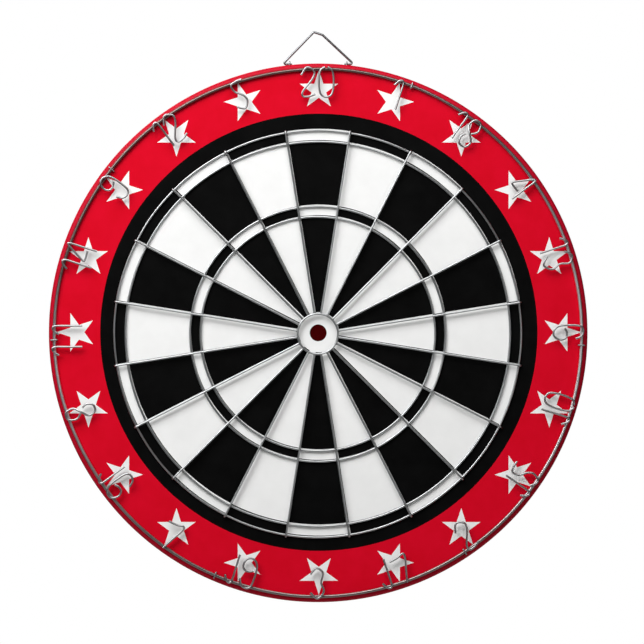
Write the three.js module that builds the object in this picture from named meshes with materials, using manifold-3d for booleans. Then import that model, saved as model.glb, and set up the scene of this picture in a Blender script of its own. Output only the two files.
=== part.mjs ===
// A printed wall dartboard: a disc of wound paper with a welded wire spider, a wire number ring
// and a wire hanger.
// Millimetres. The board hangs on a wall in the XZ plane: +Z is up, and the front faces -Y.
// The origin is the middle of the back sheet's outer face, where it meets the wall.
import * as THREE from "three";
import { mergeVertices } from "three/addons/utils/BufferGeometryUtils.js";
import Module from "manifold-3d";

// ---- Driving dimensions ----

const fit = 0.3; // gap left between pieces that touch

// Board
const playRadius = 170.5; // middle of the outer double wire
const numberBand = 55.6; // from the outer double wire to the edge of the board
const boardThickness = 22; // back sheet to printed face
const backThickness = 1.2;
const faceThickness = 0.8;
const bandThickness = 0.8;
const bandSetBack = 0.4; // the band's rear edge stays clear of the wall
const lipRadius = 4; // the band rolls over the front edge
const bullRadius = 7.1; // hole in the printed face, filled by the plug's end
const plugRecess = 0.7;

// Spider: every radius is to the middle of the wire
const sectors = 20;
const spiderWire = 1.8; // wire diameter
const doubleWidth = 9.3;
const trebleRadius = 107;
const trebleWidth = 8.8;
const bullRingRadius = 16.9;
const spokeBend = 1.4; // bend radius where a spoke turns down into the board
const spokeLeg = 9; // length of the turned end below the printed face

// Number ring
const ringWire = 2.6;
const ringInset = 5.3; // from the board's edge to the middle of the ring
const numeralWire = 1.8;
const numeralHeight = 25;
const numeralReach = 1.4; // how far a numeral runs past the middle of the ring
const stapleWire = 1.2;
const stapleBend = 0.7;
const stapleLeg = 7;
const stapleAngles = [20.7, 92.7, 146.3, 203, 268.5, 308.3]; // degrees clockwise from the top

// Hanger
const hangerWire = 2;
const hangerRise = 27.4; // middle of the bail's top above the board's edge
const hangerFoot = 30; // half the distance between the feet, to the corners
const hangerTop = 3.7; // half the blunt top
const hangerSlope = 2.5; // the hand-bent top drops by this much to the right
const hangerDepth = 7; // from the wall to the middle of the bail
const hingeEnd = 22; // half the distance between the free ends of the turned feet
const hangerBend = 1.2;
const eyeOffset = 2; // from a foot's free end to its eye
const eyeLeg = 10;

// ---- Fineness ----

const wireSides = 6;
const discSteps = 60;
const ringSteps = 48;
const numberRingSteps = 60;
const bullRingSteps = 20;
const bendSteps = 2;
const sharpBendSteps = 5;
const lipSteps = 3;
const numeralStep = 5.5; // most length of one straight piece of a bent numeral

// ---- Sizes that follow ----

const boardRadius = playRadius + numberBand;
const ringRadius = boardRadius - ringInset;
const lipEdge = boardRadius - lipRadius; // where the band's rolled lip meets the printed face
const ringDepth = boardThickness + fit + ringWire / 2; // depths are measured from the wall
const numeralDepth = ringDepth + ringWire / 2 + fit + numeralWire / 2;
const spiderDepth = boardThickness + fit + spiderWire / 2;
const spokeDepth = spiderDepth + spiderWire + fit;
const spokeTip = playRadius + spiderWire + fit; // the turned end passes just outside the outer double wire
const spokeStart = bullRingRadius + spiderWire + fit;
const numberRingSag = ringRadius * (1 - Math.cos(Math.PI / numberRingSteps)); // a straight facet's dip
const staplePitch = (ringWire + stapleWire) / 2 + fit + numberRingSag; // from the ring's middle to a leg
const stapleDepth = ringDepth + ringWire / 2 + fit + stapleWire / 2;
const rimHeightAt = (x) => Math.sqrt(boardRadius ** 2 - x ** 2);
const hingeHeight = rimHeightAt(hingeEnd) + fit + hangerWire / 2;
const eyeMiddle = hingeEnd + eyeOffset;
const eyePitch = (hangerWire + stapleWire) / 2 + fit;
const eyeHeight = hingeHeight + eyePitch;

// ---- Finishes and places ----

const paint = (color, roughness, metalness = 0) =>
  new THREE.MeshStandardMaterial({ color, roughness, metalness });
const finishes = {
  core: () => paint(0xb39a72, 0.95),
  plug: () => paint(0x4a0305, 0.8),
  face: () => paint(0xf2f2f0, 0.75),
  band: () => paint(0xd4102a, 0.6),
  back: () => paint(0x9c8462, 0.95),
  spider: () => paint(0xa9acae, 0.3, 1),
  numbers: () => paint(0x9ea1a3, 0.3, 1),
  staple: () => paint(0x8f9294, 0.35, 1),
  hanger: () => paint(0x777b7e, 0.35, 1),
};

const radians = THREE.MathUtils.degToRad;
const sectorAngle = radians(360 / sectors);

// A point in front of the wall. Angle runs clockwise from the top, as a player sees the board.
const polar = (radius, angle, depth) =>
  new THREE.Vector3(radius * Math.sin(angle), -depth, radius * Math.cos(angle));

// ---- Joins and cuts ----

const wasm = await Module();
wasm.setup();

function solidOf(geometry) {
  const bare = geometry.clone();
  bare.deleteAttribute("normal");
  bare.deleteAttribute("uv");
  const merged = mergeVertices(bare);
  return new wasm.Manifold(
    new wasm.Mesh({
      numProp: 3,
      vertProperties: merged.attributes.position.array,
      triVerts: new Uint32Array(merged.index.array),
    }),
  );
}

function geometryOf(solid) {
  const mesh = solid.getMesh();
  const geometry = new THREE.BufferGeometry();
  geometry.setAttribute("position", new THREE.BufferAttribute(mesh.vertProperties, 3));
  geometry.setIndex(new THREE.BufferAttribute(mesh.triVerts, 1));
  geometry.computeVertexNormals();
  return geometry;
}

const drilled = (geometry, drills) =>
  geometryOf(drills.reduce((solid, drill) => solid.subtract(solidOf(drill)), solidOf(geometry)));

const welded = (geometries) =>
  geometryOf(geometries.map(solidOf).reduce((whole, piece) => whole.add(piece)));

// ---- Wire ----

// A path that visits each of its points in turn, so that a sweep along it has one section at each point.
class WirePath extends THREE.Curve {
  constructor(points) {
    super();
    this.points = points;
  }
  getPoint(t) {
    return this.points[Math.round(t * (this.points.length - 1))].clone();
  }
  getPointAt(u) {
    return this.getPoint(u);
  }
  getTangentAt(u) {
    const last = this.points.length - 1;
    const here = Math.round(u * last);
    const before = this.points[Math.max(here - 1, 0)];
    const after = this.points[Math.min(here + 1, last)];
    const middle = this.points[here];
    const arriving = middle.clone().sub(before).normalize();
    return arriving.add(after.clone().sub(middle).normalize()).normalize();
  }
}

function wireAlong(points, diameter) {
  const section = new THREE.Shape();
  for (let side = 0; side < wireSides; side += 1) {
    const angle = (side / wireSides) * 2 * Math.PI;
    const corner = [(diameter / 2) * Math.cos(angle), (diameter / 2) * Math.sin(angle)];
    if (side) section.lineTo(...corner);
    else section.moveTo(...corner);
  }
  const extrudePath = new WirePath(points);
  return new THREE.ExtrudeGeometry(section, { steps: points.length - 1, bevelEnabled: false, extrudePath });
}

// Straight stretches between the given corners, with each corner rounded to one bend radius.
function bentPoints(corners, bendRadius, steps = bendSteps) {
  const points = [corners[0]];
  for (let i = 1; i < corners.length - 1; i += 1) {
    const arriving = corners[i].clone().sub(corners[i - 1]).normalize();
    const leaving = corners[i + 1].clone().sub(corners[i]).normalize();
    const turn = arriving.angleTo(leaving);
    const start = corners[i].clone().addScaledVector(arriving, -bendRadius * Math.tan(turn / 2));
    const inward = leaving.clone().addScaledVector(arriving, -arriving.dot(leaving)).normalize();
    for (let step = 0; step <= steps; step += 1) {
      const angle = (turn * step) / steps;
      const point = start.clone().addScaledVector(arriving, bendRadius * Math.sin(angle));
      points.push(point.addScaledVector(inward, bendRadius * (1 - Math.cos(angle))));
    }
  }
  points.push(corners.at(-1));
  return points;
}

// A round hoop of wire around the board's axis.
function hoop(radius, diameter, steps) {
  return new THREE.TorusGeometry(radius, diameter / 2, wireSides, steps).rotateX(Math.PI / 2);
}

// The space that a turned wire end needs: a straight six-sided drill between two points.
function drillBetween(from, to, diameter) {
  const radius = (diameter / 2 + fit) / Math.cos(Math.PI / wireSides);
  const along = to.clone().sub(from);
  const drill = new THREE.CylinderGeometry(radius, radius, along.length(), wireSides);
  const upright = new THREE.Vector3(0, 1, 0); // a cylinder's own axis
  drill.applyQuaternion(new THREE.Quaternion().setFromUnitVectors(upright, along.normalize()));
  const middle = from.clone().add(to).multiplyScalar(0.5);
  return drill.translate(middle.x, middle.y, middle.z);
}

// ---- Wire ends that enter the board ----

const spokeAngles = Array.from({ length: sectors }, (_, i) => (i + 0.5) * sectorAngle);
const legTip = (legLength) => boardThickness - legLength; // depth of a leg's end

const spokeDrills = () =>
  spokeAngles.map((angle) =>
    drillBetween(
      polar(spokeTip, angle, legTip(spokeLeg) - fit),
      polar(spokeTip, angle, spokeDepth),
      spiderWire,
    ),
  );

const stapleDrills = (side) =>
  stapleAngles.map((degrees) => {
    const radius = ringRadius + side * staplePitch;
    const start = polar(radius, radians(degrees), legTip(stapleLeg) - fit);
    return drillBetween(start, polar(radius, radians(degrees), stapleDepth), stapleWire);
  });

const eyeLegs = [-1, 1].flatMap((across) =>
  [-1, 1].map((away) => ({ x: across * eyeMiddle, depth: hangerDepth + away * eyePitch })),
);

const eyeDrills = () =>
  eyeLegs.map(({ x, depth }) => {
    const bottom = new THREE.Vector3(x, -depth, rimHeightAt(eyeMiddle) - eyeLeg - fit);
    return drillBetween(bottom, new THREE.Vector3(x, -depth, eyeHeight), stapleWire);
  });

// ---- Board ----

// A solid of revolution around the board's axis, from corners given as [radius, depth].
function turned(corners, steps = discSteps) {
  const profile = corners.map(([radius, depth]) => new THREE.Vector2(radius, -depth));
  return new THREE.LatheGeometry(profile, steps);
}

// A quarter of a circle from the side of the board round to its front.
function lipArc(radius) {
  return Array.from({ length: lipSteps + 1 }, (_, i) => {
    const angle = ((i / lipSteps) * Math.PI) / 2;
    return [lipEdge + radius * Math.cos(angle), boardThickness - lipRadius + radius * Math.sin(angle)];
  });
}

const coreBack = backThickness + fit;
const coreFront = boardThickness - faceThickness - fit;

function woundCore() {
  const corner = lipArc(coreFront - (boardThickness - lipRadius));
  const outside = corner[0][0];
  const front = [[bullRadius, coreFront], ...corner.reverse()];
  const disc = turned([...front, [outside, coreBack], [bullRadius, coreBack], front[0]]);
  return drilled(disc, [...spokeDrills(), ...stapleDrills(-1), ...stapleDrills(1), ...eyeDrills()]);
}

function centrePlug() {
  const radius = bullRadius - fit;
  const front = boardThickness - plugRecess;
  return turned([[0, front], [radius, front], [radius, coreBack], [0, coreBack]], bullRingSteps);
}

function printedFace() {
  const outside = lipEdge - fit;
  const back = boardThickness - faceThickness;
  const front = [[bullRadius, boardThickness], [outside, boardThickness]];
  const sheet = turned([...front, [outside, back], [bullRadius, back], front[0]]);
  return drilled(sheet, [...spokeDrills(), ...stapleDrills(-1)]);
}

function edgeBand() {
  const outer = lipArc(lipRadius).reverse();
  const inner = lipArc(lipRadius - bandThickness);
  const rear = [[boardRadius, bandSetBack], [boardRadius - bandThickness, bandSetBack]];
  return drilled(turned([...outer, ...rear, ...inner, outer[0]]), [...stapleDrills(1), ...eyeDrills()]);
}

function backSheet() {
  const radius = boardRadius - bandThickness - fit;
  return turned([[0, backThickness], [radius, backThickness], [radius, 0], [0, 0]]);
}

// ---- Spider ----

function spoke(angle) {
  const corners = [
    polar(spokeStart, angle, spokeDepth),
    polar(spokeTip, angle, spokeDepth),
    polar(spokeTip, angle, legTip(spokeLeg)),
  ];
  return wireAlong(bentPoints(corners, spokeBend), spiderWire);
}

// ---- Numerals ----

// Each outline is one bent wire seen upright: x to the right, y from 0 at the foot to the full height.
// A third value lifts the wire off its own earlier stretch where it crosses it.
const tall = numeralHeight;
const six = [
  [5, 18.5], [2.5, 23.6], [-2.5, 24.8], [-5.8, 21], [-6, 6.5], [-2.4, 0.6], [3, 0.6], [5.7, 5.5],
  [4.3, 10.2], [0, 11.2], [-3.8, 9.4],
];
const outlines = {
  0: [[-1.2, tall], [-5, 22], [-6.2, 12.5], [-4.8, 2.8], [0, 0], [4.8, 2.8], [6.2, 12.5], [5, 22], [1.2, tall]],
  1: [[-7, 19.4], [-4, 23.9], [-1.4, 24.8], [0, 22], [0, 11], [0, 0]],
  2: [[-6, 18.5], [-1, tall], [5, 21.5], [3.5, 15.5], [-4.4, 5], [-4.3, 0.8], [0.5, 0.5], [6, 2.4]],
  3: [[-6, 20], [-1, tall], [4.5, 21.2], [3, 13.2], [5.3, 6], [0, 0], [-6, 4.8]],
  4: [[2.7, 7.6], [-4.8, 7.4], [-5.9, 9], [-1.8, 16.6], [2.8, 24.3], [4.6, 24], [4.8, 12], [5, 0]],
  5: [[5.5, 24.6], [0, 24.2], [-4.3, 22.2], [-3, 16.5], [3, 11.5], [5, 6.3], [1.4, 0.5], [-5, 3.8]],
  6: six,
  7: [[-7.5, 21], [0, 22.4], [5, 24.5], [6.2, 21.5], [3.6, 10], [1.2, 0]],
  8: [
    [1, 12.6], [4.7, 17.2], [3.4, 23.6], [0, tall], [-3.4, 23.6], [-4.7, 17.2], [0, 12, numeralWire + fit],
    [4.8, 6.8], [3.4, 1.2], [0, 0], [-3.4, 1.2], [-4.8, 6.4], [-2.8, 9.8],
  ],
  9: six.map(([x, y]) => [-x, tall - y]),
};

// Numbers clockwise from the top. Each digit has its place across, as the reader sees it.
const numbers = [
  { name: "20", at: [-9, 6.2] }, { name: "1", at: [3.5] }, { name: "18", at: [-5.5, 4.6] },
  { name: "4", at: [-0.5] }, { name: "13", at: [-5.6, 5] }, { name: "6", at: [0] },
  { name: "10", at: [-3, 7.5] }, { name: "15", at: [-4, 5.5] }, { name: "2", at: [0] },
  { name: "17", at: [-6.5, 5] }, { name: "3", at: [-0.5] }, { name: "19", at: [-4.5, 6.5] },
  { name: "7", at: [-0.5] }, { name: "16", at: [-4.5, 6.6] }, { name: "8", at: [1.5] },
  { name: "11", at: [-11.5, 6] }, { name: "14", at: [-7, 2.6] }, { name: "9", at: [-2.5] },
  { name: "12", at: [-5.5, 3.6] }, { name: "5", at: [-1.5] },
];
const turnedOver = "018"; // in the lower half these digits are bent the other way up, open end to the ring
const numeralTop = ringRadius + numeralReach;
const linkInset = 6; // the wire between two digits stays this far inside the ring, clear of the staples

const isLower = (place) => place > sectors / 4 && place < (3 * sectors) / 4;

// The middle line of one digit's wire. Numbers in the lower half stand upright too, so that their feet
// meet the ring.
function digitPoints(digit, across, lower) {
  const mirrored = lower && turnedOver.includes(digit);
  const corners = outlines[digit].map(([x, y, lift = 0]) => {
    const height = mirrored ? tall - y : y;
    const sideways = lower ? -(x + across) : x + across;
    const radius = lower ? numeralTop - height : numeralTop - tall + height;
    return new THREE.Vector3(sideways, -(numeralDepth + lift), radius);
  });
  const curve = new THREE.CatmullRomCurve3(corners, false, "centripetal");
  return curve.getSpacedPoints(Math.ceil(curve.getLength() / numeralStep));
}

// The two points, one on each digit, that lie closest together inside the ring.
function closestPoints(first, second) {
  const inside = (points) => points.filter((point) => point.z < ringRadius - linkInset);
  const pairs = inside(first).flatMap((a) => inside(second).map((b) => [a, b]));
  const apart = ([a, b]) => a.distanceTo(b);
  return pairs.reduce((best, pair) => (apart(pair) < apart(best) ? pair : best));
}

function numeral({ name, at }, lower) {
  const digits = at.map((across, i) => digitPoints(name[i], across, lower));
  const wires = digits.map((points) => wireAlong(points, numeralWire));
  if (digits.length > 1) wires.push(wireAlong(closestPoints(...digits), numeralWire));
  return welded(wires);
}

// ---- Staples and hanger ----

function ringStaple(angle) {
  const inner = ringRadius - staplePitch;
  const outer = ringRadius + staplePitch;
  const corners = [
    polar(inner, angle, legTip(stapleLeg)),
    polar(inner, angle, stapleDepth),
    polar(outer, angle, stapleDepth),
    polar(outer, angle, legTip(stapleLeg)),
  ];
  return wireAlong(bentPoints(corners, stapleBend), stapleWire);
}

function hangerEye(side) {
  const x = side * eyeMiddle;
  const bottom = rimHeightAt(eyeMiddle) - eyeLeg;
  const corners = [
    new THREE.Vector3(x, -hangerDepth - eyePitch, bottom),
    new THREE.Vector3(x, -hangerDepth - eyePitch, eyeHeight),
    new THREE.Vector3(x, -hangerDepth + eyePitch, eyeHeight),
    new THREE.Vector3(x, -hangerDepth + eyePitch, bottom),
  ];
  return wireAlong(bentPoints(corners, stapleBend), stapleWire);
}

function hangerBail() {
  const top = boardRadius + hangerRise;
  const outline = [
    [-hingeEnd, hingeHeight],
    [-hangerFoot, hingeHeight],
    [-hangerTop, top],
    [hangerTop, top - hangerSlope],
    [hangerFoot, hingeHeight],
    [hingeEnd, hingeHeight],
  ];
  const corners = outline.map(([x, z]) => new THREE.Vector3(x, -hangerDepth, z));
  return wireAlong(bentPoints(corners, hangerBend, sharpBendSteps), hangerWire);
}

// ---- Assembly ----

function node(name, geometry, finish) {
  const mesh = new THREE.Mesh(geometry, finishes[finish]());
  mesh.name = name;
  return mesh;
}

function board() {
  const group = new THREE.Group();
  group.add(
    node("wound_core", woundCore(), "core"),
    node("centre_plug", centrePlug(), "plug"),
    node("printed_face", printedFace(), "face"),
    node("edge_band", edgeBand(), "band"),
    node("back_sheet", backSheet(), "back"),
  );
  return group;
}

function spider() {
  const group = new THREE.Group();
  const rings = {
    double_ring_outer: playRadius,
    double_ring_inner: playRadius - doubleWidth,
    treble_ring_outer: trebleRadius,
    treble_ring_inner: trebleRadius - trebleWidth,
  };
  for (const [name, radius] of Object.entries(rings)) {
    const ring = node(name, hoop(radius, spiderWire, ringSteps), "spider");
    ring.position.y = -spiderDepth;
    group.add(ring);
  }
  const bullRing = node("bull_ring", hoop(bullRingRadius, spiderWire, bullRingSteps), "spider");
  bullRing.position.y = -spokeDepth;
  group.add(bullRing);
  numbers.forEach(({ name }, i) => {
    const next = numbers[(i + 1) % sectors].name;
    group.add(node(`spoke_${name}_${next}`, spoke(spokeAngles[i]), "spider"));
  });
  return group;
}

function numberRing() {
  const group = new THREE.Group();
  const ring = node("number_ring", hoop(ringRadius, ringWire, numberRingSteps), "numbers");
  ring.position.y = -ringDepth;
  group.add(ring);
  numbers.forEach((number, place) => {
    const wire = node(`numeral_${number.name}`, numeral(number, isLower(place)), "numbers");
    wire.rotation.y = place * sectorAngle;
    group.add(wire);
  });
  stapleAngles.forEach((degrees, i) => {
    group.add(node(`ring_staple_${i + 1}`, ringStaple(radians(degrees)), "staple"));
  });
  return group;
}

function hanger() {
  const group = new THREE.Group();
  group.add(
    node("hanger_bail", hangerBail(), "hanger"),
    node("hanger_eye_left", hangerEye(-1), "staple"),
    node("hanger_eye_right", hangerEye(1), "staple"),
  );
  return group;
}

const dartboard = new THREE.Group();
dartboard.add(board(), spider(), numberRing(), hanger());

export default dartboard;
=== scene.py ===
"""A printed wall dartboard with a wire spider, number ring and hanger, drawn around its CAD frame.

Metres, as in the frame: +Z is up, the wall is the plane Y = 0 and the face looks along -Y.
Angles run clockwise from the top, as a player sees the board.
"""

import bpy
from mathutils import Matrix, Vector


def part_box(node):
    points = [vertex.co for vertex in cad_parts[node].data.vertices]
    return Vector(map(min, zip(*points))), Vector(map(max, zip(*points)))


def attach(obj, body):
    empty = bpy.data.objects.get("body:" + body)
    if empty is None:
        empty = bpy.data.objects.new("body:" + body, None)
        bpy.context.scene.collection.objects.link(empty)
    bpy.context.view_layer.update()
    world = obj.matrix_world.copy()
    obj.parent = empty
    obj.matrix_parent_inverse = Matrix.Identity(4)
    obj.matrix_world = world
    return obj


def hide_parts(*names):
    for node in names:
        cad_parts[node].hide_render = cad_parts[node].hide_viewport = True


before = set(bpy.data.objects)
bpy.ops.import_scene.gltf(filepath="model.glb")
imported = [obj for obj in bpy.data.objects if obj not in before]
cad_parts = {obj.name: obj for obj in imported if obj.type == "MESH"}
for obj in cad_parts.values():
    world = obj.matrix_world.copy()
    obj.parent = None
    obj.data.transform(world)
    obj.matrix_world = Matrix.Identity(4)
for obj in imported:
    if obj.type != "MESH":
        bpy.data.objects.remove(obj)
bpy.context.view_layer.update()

import math

import bmesh
import bpy
from mathutils import Matrix, Vector
from mathutils.geometry import delaunay_2d_cdt

MM = 0.001

# ---- Sizes taken from the frame ----


def half_width(node):
    """How far a node reaches to the right of the board's axis."""
    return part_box(node)[1].x


def middle_depth(node):
    """The distance from the wall to the middle of a flat wire node."""
    low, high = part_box(node)
    return -(low.y + high.y) / 2


SECTORS = 20
SECTOR_ANGLE = 2 * math.pi / SECTORS
SPIDER_WIRE = 1.8 * MM
RING_WIRE = 2.6 * MM
NUMERAL_WIRE = 1.8 * MM
STAPLE_WIRE = 1.2 * MM
HANGER_WIRE = 2.0 * MM

BOARD_RADIUS = half_width("edge_band")
FACE_DEPTH = -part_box("printed_face")[0].y
FACE_THICKNESS = FACE_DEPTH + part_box("printed_face")[1].y
FACE_RADIUS = half_width("printed_face")
BAND_BACK = -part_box("edge_band")[1].y
BACK_THICKNESS = -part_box("back_sheet")[0].y
BULL_RADIUS = 7.1 * MM

RING_NODES = ["double_ring_outer", "double_ring_inner", "treble_ring_outer", "treble_ring_inner"]
RING_RADII = {node: half_width(node) - SPIDER_WIRE / 2 for node in RING_NODES}
RING_DEPTH = middle_depth("double_ring_outer")
SPOKE_DEPTH = middle_depth("bull_ring")
BULL_RING_RADIUS = half_width("bull_ring") - SPIDER_WIRE / 2
NUMBER_RING_RADIUS = half_width("number_ring") - RING_WIRE / 2
NUMBER_RING_DEPTH = middle_depth("number_ring")
NUMERAL_DEPTH = middle_depth("numeral_1")


def polar(radius, angle, depth):
    """A point at a radius and a clockwise angle, that far in front of the wall."""
    return Vector((radius * math.sin(angle), -depth, radius * math.cos(angle)))


# ---- Camera ----

VIEW_DISTANCE = 3.2
VIEW_WIDTH = 539.9 * MM  # what the picture takes in at the board's face
VIEW_CENTRE = Vector((3.2 * MM, 0, 9.1 * MM))
SENSOR = 36.0


def front_camera():
    """A long lens square on to the face."""
    data = bpy.data.cameras.new("camera")
    data.sensor_width = SENSOR
    data.lens = SENSOR * VIEW_DISTANCE / VIEW_WIDTH
    camera = bpy.data.objects.new("camera", data)
    camera.location = VIEW_CENTRE - Vector((0, VIEW_DISTANCE + FACE_DEPTH, 0))
    camera.rotation_euler = (math.radians(90), 0, 0)
    bpy.context.scene.collection.objects.link(camera)
    bpy.context.scene.camera = camera


# ---- Materials ----


def linear(hex_colour):
    """An sRGB hex colour as the linear RGBA that a socket takes."""
    channels = [int(hex_colour[i : i + 2], 16) / 255 for i in (1, 3, 5)]
    return [c / 12.92 if c <= 0.04045 else ((c + 0.055) / 1.055) ** 2.4 for c in channels] + [1.0]


def feed(tree, node, inputs):
    """Sets a node's inputs. A value that is a node or one of its sockets is linked instead."""
    for name, value in dict(inputs).items():
        if isinstance(value, bpy.types.Node):
            value = next(output for output in value.outputs if output.enabled)
        if isinstance(value, bpy.types.NodeSocket):
            tree.links.new(value, node.inputs[name])
        else:
            node.inputs[name].default_value = value


def add(tree, kind, inputs=(), **settings):
    """A new node with its settings and its inputs."""
    node = tree.nodes.new(kind)
    for name, value in settings.items():
        setattr(node, name, value)
    feed(tree, node, inputs)
    return node


def new_material(name):
    """A material with its node tree, its shader and the piece's own coordinates."""
    material = bpy.data.materials.new(name)
    material.use_nodes = True
    tree = material.node_tree
    place = add(tree, "ShaderNodeTexCoord").outputs["Object"]
    return material, tree, tree.nodes["Principled BSDF"], place


TAPE_PITCH = 1.6 * MM  # one turn of the wound paper tape; real tape is finer, and would not show


def coil_lines(tree, place):
    """Rings around the board's axis, one for each turn of the wound tape, from -1 to 1."""
    flat = add(tree, "ShaderNodeMapping", {"Vector": place, "Scale": (1, 0, 1)})
    radius = add(tree, "ShaderNodeVectorMath", {0: flat}, operation="LENGTH")
    turns = add(tree, "ShaderNodeMath", {0: radius, 1: 2 * math.pi / TAPE_PITCH}, operation="MULTIPLY")
    return add(tree, "ShaderNodeMath", {0: turns}, operation="SINE")


PAPER_MOTTLE = 14 * MM  # uneven ink and glue under the sheet
PAPER_FIBRE = 0.35 * MM


def printed_paper(name, ink, worn_ink_and_painted_sheen, gloss):
    """Offset ink on uncoated sheet, glued over wound tape.

    The eye sees a flat, dull, even colour, with faint clouds in it, a dry tooth, and close up the
    rings of the coil telegraphing through.
    """
    material, tree, shader, place = new_material(name)
    clouds = add(tree, "ShaderNodeTexNoise", {"Vector": place, "Scale": 1 / PAPER_MOTTLE, "Detail": 3.0})
    fibre = add(tree, "ShaderNodeTexNoise", {"Vector": place, "Scale": 1 / PAPER_FIBRE, "Detail": 4.0})
    wear_and_painted_sheen = add(tree, "ShaderNodeMapRange", {"Value": clouds, "From Min": 0.3, "From Max": 0.7})
    colour = {"Factor": wear_and_painted_sheen, "A": linear(ink), "B": linear(worn_ink_and_painted_sheen)}
    coil = {"Height": coil_lines(tree, place), "Distance": 0.004 * MM, "Strength": 0.5}
    rings = add(tree, "ShaderNodeBump", coil)
    tooth = {"Height": fibre, "Distance": 0.03 * MM, "Strength": 0.6, "Normal": rings}
    feed(tree, shader, {
        "Base Color": add(tree, "ShaderNodeMix", colour, data_type="RGBA"),
        "Roughness": add(tree, "ShaderNodeMapRange", {"Value": fibre, "To Min": 0.55, "To Max": 0.7}),
        "Normal": add(tree, "ShaderNodeBump", tooth),
        "Specular IOR Level": gloss,
    })
    return material


TAPE_WAVE = 9 * MM  # slack left where tape is stretched round the lip
TAPE_GRAIN = 0.6 * MM


def red_vinyl_tape():
    """Calendered vinyl tape, pressed round the rim by hand.

    The eye sees a satin crimson, deeper than the print, that breaks into soft waves along the lip.
    """
    material, tree, shader, place = new_material("satin_red_vinyl")
    waves = add(tree, "ShaderNodeTexNoise", {"Vector": place, "Scale": 1 / TAPE_WAVE, "Detail": 2.0})
    grain = add(tree, "ShaderNodeTexNoise", {"Vector": place, "Scale": 1 / TAPE_GRAIN, "Detail": 3.0})
    colour = {"Factor": waves, "A": linear("#B80A24"), "B": linear("#C20E2A")}
    slack = {"Height": waves, "Distance": 0.15 * MM, "Strength": 0.5}
    swells = add(tree, "ShaderNodeBump", slack)
    pebble = {"Height": grain, "Distance": 0.02 * MM, "Strength": 0.5, "Normal": swells}
    feed(tree, shader, {
        "Base Color": add(tree, "ShaderNodeMix", colour, data_type="RGBA"),
        "Roughness": add(tree, "ShaderNodeMapRange", {"Value": grain, "To Min": 0.4, "To Max": 0.54}),
        "Normal": add(tree, "ShaderNodeBump", pebble),
        "Specular IOR Level": 0.08,
    })
    return material


BOARD_CLOUD = 30 * MM
BOARD_FIBRE = 1.1 * MM
BOARD_FLECK = 4 * MM  # between the darker chips


def kraft_board():
    """Pressed waste-paper board.

    The eye sees dry grey brown, clouded from sheet to sheet, with coarse fibres and darker chips.
    """
    material, tree, shader, place = new_material("kraft_board")
    cloud = add(tree, "ShaderNodeTexNoise", {"Vector": place, "Scale": 1 / BOARD_CLOUD, "Detail": 3.0})
    coarse = {"Vector": place, "Scale": 1 / BOARD_FIBRE, "Detail": 6.0, "Roughness": 0.7}
    fibre = add(tree, "ShaderNodeTexNoise", coarse)
    chips = add(tree, "ShaderNodeTexVoronoi", {"Vector": place, "Scale": 1 / BOARD_FLECK})
    clear = add(tree, "ShaderNodeMapRange", {"Value": chips, "From Min": 0.05, "From Max": 0.14})
    clouded = {"Factor": cloud, "A": linear("#947852"), "B": linear("#AC906A")}
    plain = add(tree, "ShaderNodeMix", clouded, data_type="RGBA")
    flecked = {"Factor": clear, "A": linear("#6E5638"), "B": plain}
    feed(tree, shader, {
        "Base Color": add(tree, "ShaderNodeMix", flecked, data_type="RGBA"),
        "Roughness": add(tree, "ShaderNodeMapRange", {"Value": fibre, "To Min": 0.78, "To Max": 0.95}),
        "Normal": add(tree, "ShaderNodeBump", {"Height": fibre, "Distance": 0.12 * MM, "Strength": 0.7}),
    })
    return material


def wound_tape():
    """Kraft paper tape wound edge-on.

    The eye sees pale brown in fine rings, a light one and a dark one for each turn.
    """
    material, tree, shader, place = new_material("wound_paper_tape")
    lines = coil_lines(tree, place)
    turn = add(tree, "ShaderNodeMapRange", {"Value": lines, "From Min": -1.0, "From Max": 1.0})
    colour = {"Factor": turn, "A": linear("#A78D64"), "B": linear("#C4AC84")}
    feed(tree, shader, {
        "Base Color": add(tree, "ShaderNodeMix", colour, data_type="RGBA"),
        "Normal": add(tree, "ShaderNodeBump", {"Height": lines, "Distance": 0.1 * MM, "Strength": 0.6}),
        "Roughness": 0.95,
    })
    return material


WOOD_PORE = 0.5 * MM


def dyed_wood():
    """Beech dowel sawn across and soaked in dark red dye.

    The eye sees a very dark, matt red, speckled by open pores that drank more dye.
    """
    material, tree, shader, place = new_material("dyed_beech_end_grain")
    fine = {"Vector": place, "Scale": 1 / WOOD_PORE, "Detail": 5.0, "Roughness": 0.7}
    pores = add(tree, "ShaderNodeTexNoise", fine)
    open_pore = add(tree, "ShaderNodeMapRange", {"Value": pores, "From Min": 0.35, "From Max": 0.65})
    colour = {"Factor": open_pore, "A": linear("#300000"), "B": linear("#4A0002")}
    feed(tree, shader, {
        "Base Color": add(tree, "ShaderNodeMix", colour, data_type="RGBA"),
        "Roughness": add(tree, "ShaderNodeMapRange", {"Value": pores, "To Min": 0.7, "To Max": 0.9}),
        "Normal": add(tree, "ShaderNodeBump", {"Height": pores, "Distance": 0.1 * MM, "Strength": 0.6}),
        "Specular IOR Level": 0.02,
    })
    return material


PLATING_CLOUD = 12 * MM
DRAW_MARK = 3 * MM  # a real draw mark is a hundredth of this, and would not show
DRAW_POLISH = 0.05  # how far the marks raise or lower the wire's roughness


def steel_finish(tree, shader, place, colour, roughness):
    """Bare metal of a mixed colour, with the dull and shiny marks that the die leaves."""
    marks = add(tree, "ShaderNodeTexNoise", {"Vector": place, "Scale": 1 / DRAW_MARK, "Detail": 2.0})
    rubbed = {"Value": marks, "To Min": roughness - DRAW_POLISH, "To Max": roughness + DRAW_POLISH}
    feed(tree, shader, {
        "Base Color": add(tree, "ShaderNodeMix", colour, data_type="RGBA"),
        "Roughness": add(tree, "ShaderNodeMapRange", rubbed),
        "Metallic": 1.0,
    })


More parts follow.
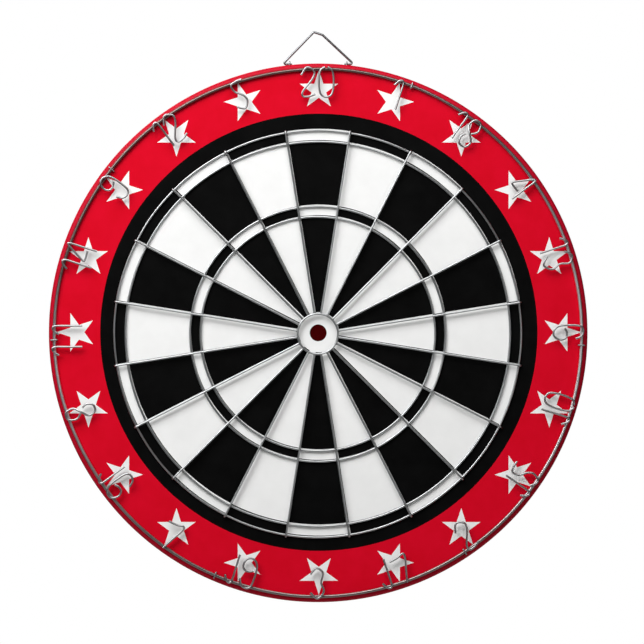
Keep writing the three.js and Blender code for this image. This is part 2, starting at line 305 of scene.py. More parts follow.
def drawn_steel(name, bright, dull, roughness):
    """Low-carbon wire, drawn through a die and thinly plated.

    The eye sees a grey line with a bright core and dark edges, which clouds over slowly along
    its length where the plating is thinner.
    """
    material, tree, shader, place = new_material(name)
    plating = add(tree, "ShaderNodeTexNoise", {"Vector": place, "Scale": 1 / PLATING_CLOUD, "Detail": 2.0})
    colour = {"Factor": plating, "A": linear(bright), "B": linear(dull)}
    steel_finish(tree, shader, place, colour, roughness)
    return material


HOOP_PAINTED_HIGHLIGHT = 50 * MM  # the painted highlight is full up to this height above or below the board's middle
HOOP_PAINTED_REFLECTION = 170 * MM  # and the painted reflection of the red print is full from this height
PAINTED_SHADE_WAY = Vector((-0.7, 0, 1))  # towards the part of the hoop with the most painted shade
PAINTED_SHADE_START = 120 * MM
PAINTED_SHADE_FULL = 200 * MM


def steel_with_painted_light(name, bright, dull, painted_shade_colour, roughness):
    """The number ring's drawn wire, coloured with painted light instead of worn plating.

    The eye sees a painted highlight as a silver line at the left and right, which turns to a painted
    brown-grey reflection of the red print towards the top and the bottom, with painted shade darkest at the
    upper left.
    """
    material, tree, shader, place = new_material(name)
    # Painted highlight at the left and right, fading to a painted reflection of the red print above and
    # below.
    height = add(tree, "ShaderNodeSeparateXYZ", {"Vector": place}).outputs["Z"]
    off_middle = add(tree, "ShaderNodeMath", {0: height}, operation="ABSOLUTE")
    wear_and_painted_sheen = {"Value": off_middle, "From Min": HOOP_PAINTED_HIGHLIGHT, "From Max": HOOP_PAINTED_REFLECTION}
    worn_ink_and_painted_sheen = {"Factor": add(tree, "ShaderNodeMapRange", wear_and_painted_sheen), "A": linear(bright), "B": linear(dull)}
    # Painted shade over the hoop's colour, darkest towards the upper left.
    along = add(tree, "ShaderNodeVectorMath", {0: place, 1: PAINTED_SHADE_WAY}, operation="DOT_PRODUCT")
    painted_shade_fade = {"Value": along.outputs["Value"], "From Min": PAINTED_SHADE_START, "From Max": PAINTED_SHADE_FULL}
    colour = {
        "Factor": add(tree, "ShaderNodeMapRange", painted_shade_fade),
        "A": add(tree, "ShaderNodeMix", worn_ink_and_painted_sheen, data_type="RGBA"),
        "B": linear(painted_shade_colour),
    }
    steel_finish(tree, shader, place, colour, roughness)
    return material


# ---- Finished pieces ----


def finish_piece(piece, body, nodes):
    """Fixes a piece to its body and lets it stand for its CAD nodes."""
    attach(piece, body)
    if nodes:
        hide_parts(*nodes)
    return piece


def linked(name, mesh):
    piece = bpy.data.objects.new(name, mesh)
    bpy.context.scene.collection.objects.link(piece)
    return piece


def smooth(mesh, sharp_degrees=35):
    mesh.shade_smooth()
    mesh.set_sharp_from_angle(angle=math.radians(sharp_degrees))


def turned(name, profile, material, steps=240):
    """A solid of revolution around the board's axis. The profile is a closed loop of (radius, depth)."""
    shape = bmesh.new()
    turns = [2 * math.pi * i / steps for i in range(steps)]
    rings = []
    for radius, depth in profile:
        if radius == 0:
            rings.append([shape.verts.new(polar(0, 0, depth))] * steps)
        else:
            rings.append([shape.verts.new(polar(radius, turn, depth)) for turn in turns])
    for here, after in zip(rings, rings[1:] + rings[:1]):
        for i in range(steps):
            corners = [here[i], here[(i + 1) % steps], after[(i + 1) % steps], after[i]]
            corners = [v for j, v in enumerate(corners) if v not in corners[:j]]
            if len(corners) > 2:
                shape.faces.new(corners)
    bmesh.ops.recalc_face_normals(shape, faces=shape.faces)
    mesh = bpy.data.meshes.new(name)
    shape.to_mesh(mesh)
    shape.free()
    mesh.materials.append(material)
    smooth(mesh)
    return linked(name, mesh)


# ---- Printed face ----

BORDER_OUTER = 183.3 * MM  # black print around the playing area
STAR_CENTRE = 203.1 * MM
STAR_RADIUS = 17.0 * MM
STAR_WAIST = 0.382  # inner to outer radius of a star drawn with straight lines through its points
ARC_STEPS = 12  # points along one sector of a printed circle
PRINT_SHIFT = Vector((0.55, 0.5)) * MM  # the sheet is laid by hand, a little up and to the right
INK_SLOTS = {"white": 0, "black": 1, "red": 2}
BED_EDGES = [
    BULL_RING_RADIUS,
    RING_RADII["treble_ring_inner"],
    RING_RADII["treble_ring_outer"],
    RING_RADII["double_ring_inner"],
    RING_RADII["double_ring_outer"],
]


def star(place):
    """A star's ten corners on the flat print, with one point outwards."""
    angle = place * SECTOR_ANGLE
    centre = PRINT_SHIFT + Vector((math.sin(angle), math.cos(angle))) * STAR_CENTRE
    corners = []
    for corner in range(10):
        reach = STAR_RADIUS * (STAR_WAIST if corner % 2 else 1)
        turn = angle + corner * math.pi / 5
        corners.append(centre + Vector((math.sin(turn), math.cos(turn))) * reach)
    return corners


def circle(radius, centre):
    """Points of a flat circle, the first one between two sectors."""
    steps = SECTORS * ARC_STEPS
    turns = [(i + 0.5 * ARC_STEPS) * 2 * math.pi / steps for i in range(steps)]
    return [centre + Vector((math.sin(turn), math.cos(turn))) * radius for turn in turns]


def bed_ink(radius, angle):
    """Black singles on even sectors from the top; the double and treble beds take the other colour."""
    sector = round(angle / SECTOR_ANGLE) % SECTORS
    bed = sum(radius > edge for edge in BED_EDGES)
    dark = (sector % 2 == 0) != (bed in (2, 4))
    return "black" if dark else "white"


def in_star(point):
    """Whether a point is inside the nearest star, counted by the star's edges to its right."""
    angle = math.atan2(point.x - PRINT_SHIFT.x, point.y - PRINT_SHIFT.y)
    corners = star(round(angle / SECTOR_ANGLE))
    crossings = 0
    for a, b in zip(corners, corners[1:] + corners[:1]):
        if (a.y > point.y) != (b.y > point.y):
            crossings += point.x < a.x + (point.y - a.y) * (b.x - a.x) / (b.y - a.y)
    return crossings % 2 == 1


def ink_at(point):
    """The ink that covers a point of the printed sheet."""
    printed = point - PRINT_SHIFT
    radius = printed.length
    if radius < BULL_RING_RADIUS:
        return "white"
    if radius < BED_EDGES[-1]:
        return bed_ink(radius, math.atan2(printed.x, printed.y))
    if radius < BORDER_OUTER:
        return "black"
    return "white" if in_star(point) else "red"


def print_outline():
    """Every printed edge as points and the pairs that join them."""
    points, edges = [], []

    def closed(corners):
        start = len(points)
        points.extend(corners)
        edges.extend((start + i, start + (i + 1) % len(corners)) for i in range(len(corners)))

    for radius in [*BED_EDGES, BORDER_OUTER]:
        closed(circle(radius, PRINT_SHIFT))
    for radius in [BULL_RADIUS, FACE_RADIUS]:
        closed(circle(radius, Vector((0, 0))))
    for place in range(SECTORS):
        closed(star(place))
    steps = SECTORS * ARC_STEPS
    for sector in range(SECTORS):
        for ring in range(len(BED_EDGES) - 1):
            edges.append((ring * steps + sector * ARC_STEPS, (ring + 1) * steps + sector * ARC_STEPS))
    return points, edges


def printed_sheet(inks):
    """One flat sheet whose faces are sorted by ink, thickened backwards."""
    points, edges = print_outline()
    flat, _, triangles, *_ = delaunay_2d_cdt(points, edges, [], 0, 1e-7)
    shape = bmesh.new()
    verts = [shape.verts.new((p.x, -FACE_DEPTH, p.y)) for p in flat]
    for triangle in triangles:
        centre = sum((flat[i] for i in triangle), Vector((0, 0))) / 3
        if BULL_RADIUS < centre.length < FACE_RADIUS:
            face = shape.faces.new([verts[i] for i in triangle])
            face.material_index = INK_SLOTS[ink_at(centre)]
    bmesh.ops.delete(shape, geom=[v for v in shape.verts if not v.link_faces], context="VERTS")
    copied = bmesh.ops.duplicate(shape, geom=shape.verts[:] + shape.edges[:] + shape.faces[:])
    twins = copied["vert_map"]
    front_rims = [edge for edge in shape.edges if edge.is_boundary and edge not in copied["geom"]]
    for edge in front_rims:
        a, b = edge.verts
        shape.faces.new([a, b, twins[b], twins[a]])
    for item in copied["geom"]:
        if isinstance(item, bmesh.types.BMVert):
            item.co.y += FACE_THICKNESS
    bmesh.ops.recalc_face_normals(shape, faces=shape.faces)
    mesh = bpy.data.meshes.new("printed_sheet")
    shape.to_mesh(mesh)
    shape.free()
    for ink in INK_SLOTS:
        mesh.materials.append(inks[ink])
    piece = linked("printed_sheet", mesh)
    return finish_piece(piece, "board", ["printed_face"])


# ---- Board body ----

LIP_RADIUS = 4.0 * MM
BAND_THICKNESS = 0.8 * MM
LIP_STEPS = 10
PLUG_RADIUS = 6.95 * MM
PLUG_BEVEL = 0.4 * MM
BACK_BEVEL = 0.3 * MM
FIT = 0.3 * MM


def lip_arc(radius):
    """A quarter turn from the board's side round to its front."""
    turns = [i * math.pi / 2 / LIP_STEPS for i in range(LIP_STEPS + 1)]
    centre = BOARD_RADIUS - LIP_RADIUS
    return [(centre + radius * math.cos(t), FACE_DEPTH - LIP_RADIUS + radius * math.sin(t)) for t in turns]


def edge_band(material):
    """The red tape around the rim, rolled over the lip."""
    outer = lip_arc(LIP_RADIUS)
    inner = lip_arc(LIP_RADIUS - BAND_THICKNESS)
    back = [(BOARD_RADIUS - BAND_THICKNESS, BAND_BACK), (BOARD_RADIUS, BAND_BACK)]
    piece = turned("edge_tape", outer + inner[::-1] + back, material, steps=360)
    return finish_piece(piece, "board", ["edge_band"])


def back_board(material):
    """The sheet that closes the back, its wall edge slightly crushed."""
    radius = BOARD_RADIUS - BAND_THICKNESS - FIT / 2
    edge = [(radius, BACK_THICKNESS), (radius, BACK_BEVEL), (radius - BACK_BEVEL, 0)]
    profile = [(0, BACK_THICKNESS), *edge, (0, 0)]
    piece = turned("back_board", profile, material, steps=360)
    return finish_piece(piece, "board", ["back_sheet"])


def bull_plug(material):
    """The dowel through the middle, whose end is the bull."""
    low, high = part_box("centre_plug")
    front, back = -low.y, -high.y
    profile = [
        (0, front),
        (PLUG_RADIUS - PLUG_BEVEL, front),
        (PLUG_RADIUS, front - PLUG_BEVEL),
        (PLUG_RADIUS, back),
        (0, back),
    ]
    piece = turned("bull_plug", profile, material, steps=64)
    return finish_piece(piece, "board", ["centre_plug"])


# ---- Wires, swept by Geometry Nodes ----

WIRE_SIDES = 14


def open_tree(name, inputs):
    """A Geometry Nodes tree with the given named inputs, each (name, socket kind)."""
    tree = bpy.data.node_groups.new(name, "GeometryNodeTree")
    tree.interface.new_socket("Geometry", in_out="OUTPUT", socket_type="NodeSocketGeometry")
    tree.interface.new_socket("Geometry", in_out="INPUT", socket_type="NodeSocketGeometry")
    for socket, kind in inputs:
        tree.interface.new_socket(socket, in_out="INPUT", socket_type=kind)
    return tree, add(tree, "NodeGroupInput").outputs


def close_tree(tree, geometry, material):
    """Every tree ends in real geometry with its material set."""
    real = add(tree, "GeometryNodeRealizeInstances", {"Geometry": geometry})
    painted = add(tree, "GeometryNodeSetMaterial", {"Geometry": real, "Material": material})
    add(tree, "NodeGroupOutput", {"Geometry": painted}, is_active_output=True)
    return tree


def swayed(tree, geometry, given):
    """Moves points by smooth noise in the board's plane, so a wire looks worked by hand."""
    scale = add(tree, "ShaderNodeMath", {0: 1.0, 1: given["Wave length"]}, operation="DIVIDE")
    inputs = {"Scale": scale, "Detail": 1.0, "W": given["Seed"]}
    wander = add(tree, "ShaderNodeTexNoise", inputs, noise_dimensions="4D").outputs["Color"]
    centred = add(tree, "ShaderNodeVectorMath", {0: wander, 1: (0.5, 0.5, 0.5)}, operation="SUBTRACT")
    flat = add(tree, "ShaderNodeVectorMath", {0: centred, 1: (2, 0, 2)}, operation="MULTIPLY")
    offset = add(tree, "ShaderNodeVectorMath", {0: flat, "Scale": given["Sway"]}, operation="SCALE")
    return add(tree, "GeometryNodeSetPosition", {"Geometry": geometry, "Offset": offset})


def swept(tree, curve, diameter):
    """A round wire along a curve, with closed ends."""
    radius = add(tree, "ShaderNodeMath", {0: diameter, 1: 0.5}, operation="MULTIPLY")
    section = add(tree, "GeometryNodeCurvePrimitiveCircle", {"Resolution": WIRE_SIDES, "Radius": radius})
    inputs = {"Curve": curve, "Profile Curve": section, "Fill Caps": True}
    wire = add(tree, "GeometryNodeCurveToMesh", inputs)
    return add(tree, "GeometryNodeSetShadeSmooth", {"Geometry": wire})


def stiff_curve(tree, path, bend_radius):
    """Straight stretches whose corners are rounded."""
    inputs = {"Curve": path, "Radius": bend_radius, "Count": 6, "Limit Radius": True}
    return add(tree, "GeometryNodeFilletCurve", inputs, mode="POLY")


def curled_curve(tree, path, step):
    """A smooth curve through every point, cut into even steps."""
    curled = add(tree, "GeometryNodeCurveSplineType", {"Curve": path}, spline_type="CATMULL_ROM")
    fine = add(tree, "GeometryNodeSetSplineResolution", {"Geometry": curled, "Resolution": 24})
    return add(tree, "GeometryNodeResampleCurve", {"Curve": fine, "Length": step}, mode="LENGTH")


def bent_wire_tree(curled):
    """One wire that follows the piece's own path."""
    sizes = ["Diameter", "Bend radius or step", "Sway", "Wave length", "Seed"]
    inputs = [(size, "NodeSocketFloat") for size in sizes] + [("Material", "NodeSocketMaterial")]
    tree, given = open_tree("curled_wire" if curled else "stiff_wire", inputs)
    path = add(tree, "GeometryNodeMeshToCurve", {"Mesh": given["Geometry"]})
    shaped = (curled_curve if curled else stiff_curve)(tree, path, given["Bend radius or step"])
    gentle = swayed(tree, shaped, given)
    return close_tree(tree, swept(tree, gentle, given["Diameter"]), given["Material"])


def fanned(tree, geometry, given):
    """Copies around the board's axis, midway between the sectors' middles, each a little off its angle."""
    index = add(tree, "GeometryNodeInputIndex")
    midway = add(tree, "ShaderNodeMath", {0: index, 1: 0.5}, operation="ADD")
    angle = add(tree, "ShaderNodeMath", {0: midway, 1: SECTOR_ANGLE}, operation="MULTIPLY")
    most = given["Angle error"]
    least = add(tree, "ShaderNodeMath", {0: most, 1: -1.0}, operation="MULTIPLY")
    inputs = {"Min": least, "Max": most, "Seed": given["Seed"]}
    error = add(tree, "FunctionNodeRandomValue", inputs, data_type="FLOAT")
    turn = add(tree, "ShaderNodeMath", {0: angle, 1: error}, operation="ADD")
    rotation = add(tree, "ShaderNodeCombineXYZ", {"Y": turn})
    points = add(tree, "GeometryNodePoints", {"Count": given["Count"]})
    inputs = {"Points": points, "Instance": geometry, "Rotation": rotation}
    copies = add(tree, "GeometryNodeInstanceOnPoints", inputs)
    return add(tree, "GeometryNodeRealizeInstances", {"Geometry": copies})


FAN_INPUTS = [
    ("Count", "NodeSocketInt"),
    ("Angle error", "NodeSocketFloat"),
    ("Sway", "NodeSocketFloat"),
    ("Wave length", "NodeSocketFloat"),
    ("Seed", "NodeSocketInt"),
    ("Material", "NodeSocketMaterial"),
]


def spoke_fan_tree():
    """One spoke's path repeated around the board and swept."""
    tree, given = open_tree("spoke_fan", FAN_INPUTS + [("Diameter", "NodeSocketFloat")])
    path = add(tree, "GeometryNodeMeshToCurve", {"Mesh": given["Geometry"]})
    gentle = swayed(tree, fanned(tree, path, given), given)
    return close_tree(tree, swept(tree, gentle, given["Diameter"]), given["Material"])


def weld_fan_tree():
    """A flattened bead at each of one spoke's welds, repeated around the board."""
    extra = [("Bead width", "NodeSocketFloat"), ("Bead height", "NodeSocketFloat")]
    tree, given = open_tree("weld_fan", FAN_INPUTS + extra)
    ball = add(tree, "GeometryNodeMeshUVSphere", {"Segments": 12, "Rings": 6, "Radius": 0.5})
    ball = add(tree, "GeometryNodeSetShadeSmooth", {"Geometry": ball})
    inputs = {"X": given["Bead width"], "Y": given["Bead height"], "Z": given["Bead width"]}
    size = add(tree, "ShaderNodeCombineXYZ", inputs)
    places = add(tree, "GeometryNodeMeshToPoints", {"Mesh": given["Geometry"]})
    beads = add(tree, "GeometryNodeInstanceOnPoints", {"Points": places, "Instance": ball, "Scale": size})
    return close_tree(tree, swayed(tree, fanned(tree, beads, given), given), given["Material"])


def grown(name, points, edges, tree, values):
    """A path with a tree's modifier, turned into a plain mesh piece."""
    path = bpy.data.meshes.new(name + "_path")
    path.from_pydata([tuple(point) for point in points], edges, [])
    piece = linked(name, path)
    modifier = piece.modifiers.new("grow", "NODES")
    modifier.node_group = tree
    for item in tree.interface.items_tree:
        if item.in_out == "INPUT" and item.name in values:
            modifier[item.identifier] = values[item.name]
    bpy.context.view_layer.update()
    graph = bpy.context.evaluated_depsgraph_get()
    mesh = bpy.data.meshes.new_from_object(piece.evaluated_get(graph), depsgraph=graph)
    mesh.name = name
    piece.modifiers.remove(modifier)
    piece.data = mesh
    return piece


def chain(count, closed=False):
    """Pairs that join points one after the other."""
    pairs = [(i, i + 1) for i in range(count - 1)]
    return pairs + [(count - 1, 0)] if closed else pairs


# ---- Spider ----

RING_POINTS = 72
RING_STEP = 4 * MM
SPOKE_JITTER = math.radians(0.16)
RING_SWAY = 0.6 * MM
SPOKE_SWAY = 0.25 * MM
SPIDER_WAVE = 60 * MM
SPIDER_SHIFT = Vector((-0.3, 0, -0.9)) * MM
SPOKE_SEED = 7
SPOKE_TIP = RING_RADII["double_ring_outer"] + 0.8 * SPIDER_WIRE  # the turned end is welded to the ring
SPOKE_START = BULL_RING_RADIUS + SPIDER_WIRE / 2
SPOKE_POINTS = 52
SPOKE_BEND = 1.4 * MM
BEND_STEPS = 6
TURNED_END = 2.0 * MM  # how far the turned end is followed below the printed face
WELD_WIDTH = 2.3 * MM
WELD_HEIGHT = 1.5 * MM


def hoop(name, radius, depth, diameter, wire_tree, values):
    """A round wire bent to a circle around the board's axis."""
    corners = [polar(radius, 2 * math.pi * i / RING_POINTS, depth) for i in range(RING_POINTS)]
    step = min(RING_STEP, radius * 2 * math.pi / RING_POINTS)
    values = {"Diameter": diameter, "Bend radius or step": step, **values}
    return grown(name, corners, chain(RING_POINTS, closed=True), wire_tree, values)


def pressed_in(piece):
    """The spider is pressed on by hand and sits a little low and to the left of the board's axis."""
    piece.data.transform(Matrix.Translation(SPIDER_SHIFT))
    return piece


def spider_rings(material, wire_tree):
    """The double and treble rings, a little wavy, and the small bull ring, which is too stiff to wave."""
    for seed, node in enumerate(RING_NODES):
        values = {"Sway": RING_SWAY, "Wave length": SPIDER_WAVE, "Seed": seed, "Material": material}
        ring = hoop("wire_" + node, RING_RADII[node], RING_DEPTH, SPIDER_WIRE, wire_tree, values)
        finish_piece(pressed_in(ring), "board", [node])
    values = {"Material": material}
    ring = hoop("wire_bull_ring", BULL_RING_RADIUS, SPOKE_DEPTH, SPIDER_WIRE, wire_tree, values)
    finish_piece(pressed_in(ring), "board", ["bull_ring"])


def spoke_path():
    """Out along the face, round the bend and down into the board."""
    bend_start = SPOKE_TIP - SPOKE_BEND
    step = (bend_start - SPOKE_START) / SPOKE_POINTS
    straight = [polar(SPOKE_START + step * i, 0, SPOKE_DEPTH) for i in range(SPOKE_POINTS)]
    turns = [i * math.pi / 2 / BEND_STEPS for i in range(BEND_STEPS + 1)]
    hub = SPOKE_DEPTH - SPOKE_BEND
    bend = [polar(bend_start + SPOKE_BEND * math.sin(t), 0, hub + SPOKE_BEND * math.cos(t)) for t in turns]
    return [*straight, *bend, polar(SPOKE_TIP, 0, FACE_DEPTH - TURNED_END)]


def fan_values(material):
    """What spokes and welds share, so that each weld stays on its spoke."""
    return {
        "Count": SECTORS,
        "Angle error": SPOKE_JITTER,
        "Sway": SPOKE_SWAY,
        "Wave length": SPIDER_WAVE,
        "Seed": SPOKE_SEED,
        "Material": material,
    }


def spider_spokes(material):
    """Twenty straight spokes from the bull ring to the outer double ring."""
    corners = spoke_path()
    values = {**fan_values(material), "Diameter": SPIDER_WIRE}
    piece = grown("spider_spokes", corners, chain(len(corners)), spoke_fan_tree(), values)
    nodes = [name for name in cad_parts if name.startswith("spoke_")]
    return finish_piece(pressed_in(piece), "board", nodes)


def spider_welds(material):
    """Spot welds between each spoke and the rings, which the CAD frame leaves as small gaps."""
    depth = (SPOKE_DEPTH + RING_DEPTH) / 2
    places = [polar(radius, 0, depth) for radius in RING_RADII.values()]
    places.append(polar(SPOKE_START, 0, SPOKE_DEPTH))
    values = {**fan_values(material), "Bead width": WELD_WIDTH, "Bead height": WELD_HEIGHT}
    piece = grown("spider_welds", places, [], weld_fan_tree(), values)
    return finish_piece(pressed_in(piece), "board", [])


# ---- Number ring ----

NUMERAL_HEIGHT = 25
NUMERAL_REACH = 1.4
LIFT = 1.75  # a wire that crosses itself passes over by this much
MIRRORED = "018"  # digits whose outline is turned over in the lower half, so that their ends meet the ring

# Each outline is one bent wire seen upright, in mm: x to the right, y up from the foot, and any lift.
SIX = [
    (5, 18.5), (2.5, 23.6), (-2.5, 24.8), (-5.8, 21), (-6, 6.5), (-2.4, 0.6), (3, 0.6), (5.7, 5.5),
    (4.3, 10.2), (0, 11.2), (-3.8, 9.4),
]
OUTLINES = {
    "0": [
        (-1.2, 25), (-5, 22), (-6.2, 12.5), (-4.8, 2.8), (0, 0), (4.8, 2.8), (6.2, 12.5), (5, 22), (1.2, 25),
    ],
    "1": [(-7, 19.4), (-4, 23.9), (-1.4, 24.8), (0, 22), (0, 11), (0, 0)],
    "2": [(-6, 18.5), (-1, 25), (5, 21.5), (3.5, 15.5), (-4.4, 5), (-4.3, 0.8), (0.5, 0.5), (6, 2.4)],
    "3": [(-6, 20), (-1, 25), (4.5, 21.2), (3, 13.2), (5.3, 6), (0, 0), (-6, 4.8)],
    "4": [(2.7, 7.6), (-4.8, 7.4), (-5.9, 9), (-1.8, 16.6), (2.8, 24.3), (4.6, 24), (4.8, 12), (5, 0)],
    "5": [(5.5, 24.6), (0, 24.2), (-4.3, 22.2), (-3, 16.5), (3, 11.5), (5, 6.3), (1.4, 0.5), (-5, 3.8)],
    "6": SIX,
    "7": [(-7.5, 21), (0, 22.4), (5, 24.5), (6.2, 21.5), (3.6, 10), (1.2, 0)],
    "8": [
        (1, 12.6), (4.7, 17.2), (3.4, 23.6), (0, 25), (-3.4, 23.6), (-4.7, 17.2), (0, 12, LIFT),
        (4.8, 6.8), (3.4, 1.2), (0, 0), (-3.4, 1.2), (-4.8, 6.4), (-2.8, 9.8),
    ],
    "9": [(-x, NUMERAL_HEIGHT - y) for x, y in SIX],
}
NUMBERS = [
    ("20", (-9, 6.2)), ("1", (3.5,)), ("18", (-5.5, 4.6)), ("4", (-0.5,)), ("13", (-5.6, 5)),
    ("6", (0,)), ("10", (-3, 7.5)), ("15", (-4, 5.5)), ("2", (0,)), ("17", (-6.5, 5)),
    ("3", (-0.5,)), ("19", (-4.5, 6.5)), ("7", (-0.5,)), ("16", (-4.5, 6.6)), ("8", (1.5,)),
    ("11", (-11.5, 6)), ("14", (-7, 2.6)), ("9", (-2.5,)), ("12", (-5.5, 3.6)), ("5", (-1.5,)),
]
NUMERAL_STEP = 0.9 * MM
RING_WANDER = {"Sway": 1.6 * MM, "Wave length": 150 * MM, "Seed": 4}  # the ring is not quite round
STAPLE_LEG = 2.0 * MM
STAPLE_BEND = 0.7 * MM


def digit_path(digit, across, place):
    """A digit's outline on the board. In the lower half it stands upright, so its foot meets the ring."""
    lower = SECTORS / 4 < place < 3 * SECTORS / 4
    top = NUMBER_RING_RADIUS + NUMERAL_REACH * MM
    angle = place * SECTOR_ANGLE
    outward = Vector((math.sin(angle), 0, math.cos(angle)))
    clockwise = Vector((math.cos(angle), 0, -math.sin(angle)))
    points = []
    for x, y, *lift in OUTLINES[digit]:
        height = NUMERAL_HEIGHT - y if lower and digit in MIRRORED else y
        sideways = -(x + across) if lower else x + across
        inset = height if lower else NUMERAL_HEIGHT - height
        depth = NUMERAL_DEPTH + (lift[0] * MM if lift else 0)
        points.append(outward * (top - inset * MM) + clockwise * sideways * MM - Vector((0, depth, 0)))
    return points


def wire_numerals(material, wire_tree):
    """The twenty numbers, each one or two bent wires, in order round the board."""
    for place, (name, across) in enumerate(NUMBERS):
        points, edges = [], []
        for digit, offset in zip(name, across):
            path = digit_path(digit, offset, place)
            edges += [(len(points) + a, len(points) + b) for a, b in chain(len(path))]
            points += path
        values = {
            "Diameter": NUMERAL_WIRE,
            "Bend radius or step": NUMERAL_STEP,
            "Material": material,
            **RING_WANDER,
        }
        piece = grown("wire_numeral_" + name, points, edges, wire_tree, values)
        finish_piece(piece, "board", ["numeral_" + name])


def number_hoop(material, wire_tree):
    """The ring that carries the numerals."""
    radius, depth = NUMBER_RING_RADIUS, NUMBER_RING_DEPTH
    values = {"Material": material, **RING_WANDER}
    piece = hoop("wire_number_ring", radius, depth, RING_WIRE, wire_tree, values)
    finish_piece(piece, "board", ["number_ring"])


def staple_values(material):
    """What every staple shares."""
    return {"Diameter": STAPLE_WIRE, "Bend radius or step": STAPLE_BEND, "Material": material}


def ring_staples(material, wire_tree):
    """The staples over the number ring, their legs driven into the face."""
    for node in sorted(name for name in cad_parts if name.startswith("ring_staple_")):
        low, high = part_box(node)
        middle = (low + high) / 2
        angle = math.atan2(middle.x, middle.z)
        crown = -low.y - STAPLE_WIRE / 2
        half = (RING_WIRE + STAPLE_WIRE) / 2 + 2 * FIT
        inner, outer = NUMBER_RING_RADIUS - half, NUMBER_RING_RADIUS + half
        below = FACE_DEPTH - STAPLE_LEG
        spots = [(inner, below), (inner, crown), (outer, crown), (outer, below)]
        corners = [polar(radius, angle, depth) for radius, depth in spots]
        values = {**staple_values(material), **RING_WANDER}
        piece = grown("wire_" + node, corners, chain(4), wire_tree, values)
        finish_piece(piece, "board", [node])


# ---- Hanger ----

HANGER_FOOT = 30 * MM  # half the distance between the corners at the feet
HANGER_TOP = 3.7 * MM  # half the blunt top
HANGER_SLOPE = 2.5 * MM  # the top drops by this much to the right
HINGE_END = 22 * MM  # half the distance between the feet's free ends
HANGER_BEND = 1.2 * MM
EYE_MIDDLE = 24 * MM
EYE_LEG = 6 * MM


def hanger_bail(material, wire_tree):
    """The bail: two slanted legs, a blunt top, and feet turned inwards along the hinge."""
    low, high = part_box("hanger_bail")
    depth = -(low.y + high.y) / 2
    hinge = low.z + HANGER_WIRE / 2 * math.cos(math.pi / 6)
    top = high.z - HANGER_WIRE / 2
    spots = [
        (-HINGE_END, hinge),
        (-HANGER_FOOT, hinge),
        (-HANGER_TOP, top),
        (HANGER_TOP, top - HANGER_SLOPE),
        (HANGER_FOOT, hinge),
        (HINGE_END, hinge),
    ]
    corners = [Vector((x, -depth, z)) for x, z in spots]
    values = {"Diameter": HANGER_WIRE, "Bend radius or step": HANGER_BEND, "Material": material}
    piece = grown("wire_hanger", corners, chain(len(corners)), wire_tree, values)
    return finish_piece(piece, "hanger", ["hanger_bail"])


def hanger_eyes(material, wire_tree):
    """The staples in the rim that the bail's feet turn in."""
    for side, node in ((-1, "hanger_eye_left"), (1, "hanger_eye_right")):
        low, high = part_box(node)
        crown = high.z - STAPLE_WIRE / 2
        near, far = low.y + STAPLE_WIRE / 2, high.y - STAPLE_WIRE / 2
        foot = low.z + EYE_LEG
        spots = [(near, foot), (near, crown), (far, crown), (far, foot)]
        corners = [Vector((side * EYE_MIDDLE, y, z)) for y, z in spots]
        piece = grown("wire_" + node, corners, chain(4), wire_tree, staple_values(material))
        finish_piece(piece, "board", [node])


# ---- Stage ----

FLOOR_DROP = 1.3
FLOOR_RADIUS = 2.5
FLOOR_LIFT = 0.62  # glow that only the camera sees
AMBIENT = 0.03  # strength of the surround's light


def soft_light(name, place, width, height, watts, towards=Vector((0, 0, 0))):
    """A softbox that faces the board's middle, or another point."""
    data = bpy.data.lights.new(name, "AREA")
    data.shape = "RECTANGLE"
    data.size = width
    data.size_y = height
    data.energy = watts
    lamp = bpy.data.objects.new(name, data)
    lamp.location = place
    lamp.rotation_euler = (towards - Vector(place)).to_track_quat("-Z", "Y").to_euler()
    lamp.visible_camera = False
    bpy.context.scene.collection.objects.link(lamp)


def pale_floor():
    """Smooth painted board, far below the hanging object. The eye sees an even, matt off-white."""
    material, tree, shader, place = new_material("matt_white_floor")
    seen = add(tree, "ShaderNodeLightPath").outputs["Is Camera Ray"]
    glow = add(tree, "ShaderNodeMath", {0: seen, 1: FLOOR_LIFT}, operation="MULTIPLY")
    feed(tree, shader, {
        "Base Color": linear("#D6D6D4"),
        "Roughness": 0.9,
        "Emission Color": linear("#FFFFFF"),
        "Emission Strength": glow,
    })
    shape = bmesh.new()
    bmesh.ops.create_circle(shape, cap_ends=True, segments=96, radius=FLOOR_RADIUS)
    mesh = bpy.data.meshes.new("floor")
    shape.to_mesh(mesh)
    shape.free()
    mesh.materials.append(material)
    floor = linked("floor", mesh)
    floor.location.z = -FLOOR_DROP


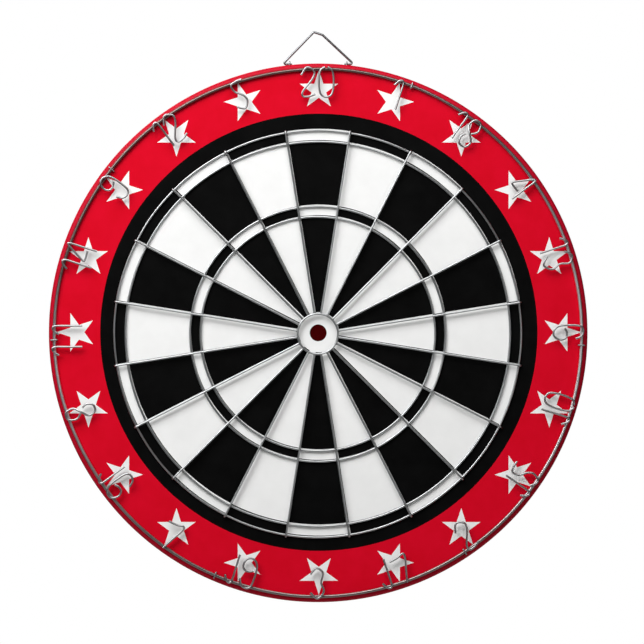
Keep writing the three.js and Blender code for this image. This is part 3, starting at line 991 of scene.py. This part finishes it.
def white_surround():
    """White all round for the camera, and faint even light for the board."""
    world = bpy.data.worlds.new("white_surround")
    bpy.context.scene.world = world
    world.use_nodes = True
    tree = world.node_tree
    faint = tree.nodes["Background"]
    feed(tree, faint, {"Color": linear("#FFFFFF"), "Strength": AMBIENT})
    white = add(tree, "ShaderNodeBackground", {"Color": linear("#FFFFFF"), "Strength": 1.0})
    seen = add(tree, "ShaderNodeLightPath").outputs["Is Camera Ray"]
    mixed = add(tree, "ShaderNodeMixShader", {0: seen, 1: faint, 2: white})
    feed(tree, tree.nodes["World Output"], {"Surface": mixed})


def studio():
    """The floor, the lights and the surround."""
    pale_floor()
    soft_light("key_softbox", (-0.8, -0.91, 0.88), 0.9, 0.9, 18)
    soft_light("top_softbox", (-0.05, -0.9, 1.3), 1.2, 0.9, 16.5)
    soft_light("side_strip", (0.9, -1.3, -0.2), 0.16, 1.0, 2.2)
    soft_light("rear_softbox", (-0.9, 1.9, 1.1), 1.6, 1.6, 34)
    soft_light("floor_wash", (0, 0, -0.6), 2.6, 2.6, 3, towards=Vector((0, 0, -FLOOR_DROP)))
    white_surround()
    bpy.context.scene.view_settings.view_transform = "Standard"


# ---- The whole board ----


def dartboard():
    """Every piece of the board, with its material."""
    printed_sheet({
        "white": printed_paper("white_printed_paper", "#F4F4F3", "#F8F8F7", gloss=0.04),
        "black": printed_paper("black_printed_paper", "#030303", "#080808", gloss=0.05),
        "red": printed_paper("red_printed_paper", "#D4021F", "#DA0425", gloss=0.06),
    })
    edge_band(red_vinyl_tape())
    back_board(kraft_board())
    bull_plug(dyed_wood())
    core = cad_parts["wound_core"]
    core.data.materials.clear()
    core.data.materials.append(wound_tape())

    curled, stiff = bent_wire_tree(True), bent_wire_tree(False)
    spider_steel = drawn_steel("bright_spider_wire", "#C6C8C9", "#AEB0B1", 0.35)
    # The ring's colours are a painted highlight, a painted reflection of the red print and a painted shade.
    ring_steel = steel_with_painted_light("number_ring_wire", "#F0F2F3", "#8C8280", "#746460", 0.4)
    numeral_steel = drawn_steel("bright_numeral_wire", "#B8BABB", "#A2A4A5", 0.34)
    staple_steel = drawn_steel("staple_wire", "#B0B2B4", "#9A9C9E", 0.4)
    spider_rings(spider_steel, curled)
    spider_spokes(spider_steel)
    spider_welds(drawn_steel("spot_weld_scale", "#9A9996", "#807F7C", 0.45))
    number_hoop(ring_steel, curled)
    wire_numerals(numeral_steel, curled)
    ring_staples(staple_steel, stiff)
    hanger_bail(drawn_steel("hanger_wire", "#9C9EA0", "#7E8082", 0.36), stiff)
    hanger_eyes(staple_steel, stiff)


front_camera()
studio()
dartboard()
